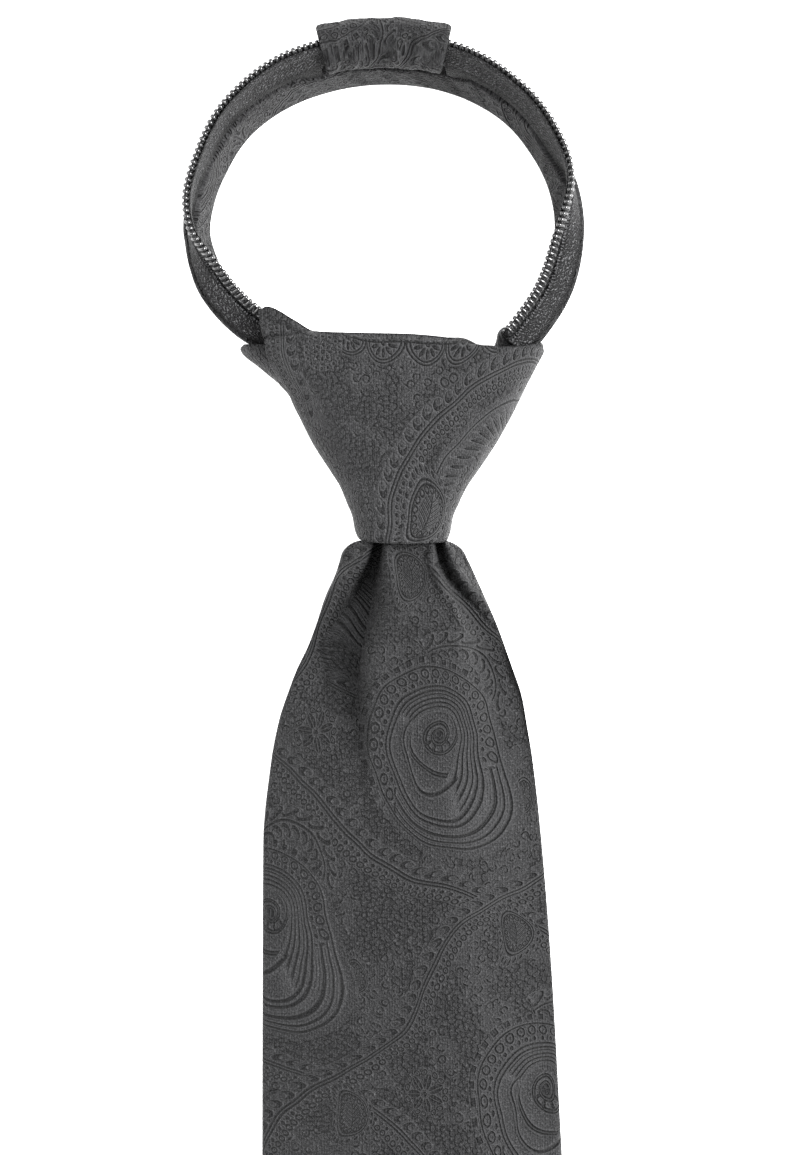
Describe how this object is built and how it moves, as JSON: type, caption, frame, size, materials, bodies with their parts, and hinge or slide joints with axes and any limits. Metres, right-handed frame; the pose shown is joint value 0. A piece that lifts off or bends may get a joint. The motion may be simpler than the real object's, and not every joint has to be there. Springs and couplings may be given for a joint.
{
  "type": "pre-tied necktie",
  "caption": "Pre-tied necktie with a shaped knot, a long pointed blade, and a stiff neck loop that a coil zip opens and closes.",
  "frame": {"origin": "centre of the knot's flat back, which lies on the surface", "axes": "+Z out of the knot's front, +Y from the knot to the neck loop, -Y down the blade, +X to the right seen from the front"},
  "size_m": [0.091, 0.5412, 0.0217],
  "materials": {
    "patterned_cloth": "black woven silk-look jacquard, tone on tone paisley, soft sheen",
    "plain_cloth": "plain black woven cloth, matt",
    "zip_tape": "black woven polyester tape, matt",
    "zip_coil": "black nylon monofilament, glossy",
    "slider_metal": "black enamel"
  },
  "bodies": {
    "root": {"knot_front": "patterned_cloth", "knot_under": "patterned_cloth", "knot_core": "patterned_cloth", "knot_tuck": "patterned_cloth", "blade": "patterned_cloth", "neck_band": "patterned_cloth", "sleeve": "patterned_cloth", "tail_band": "plain_cloth", "zip_tape_left": "zip_tape", "zip_tape_right": "zip_tape", "tail_tape": "zip_tape", "zip_coil_left": "zip_coil", "zip_coil_right": "zip_coil", "tail_coil": "zip_coil", "slider": "slider_metal"}
  },
  "joints": []
}
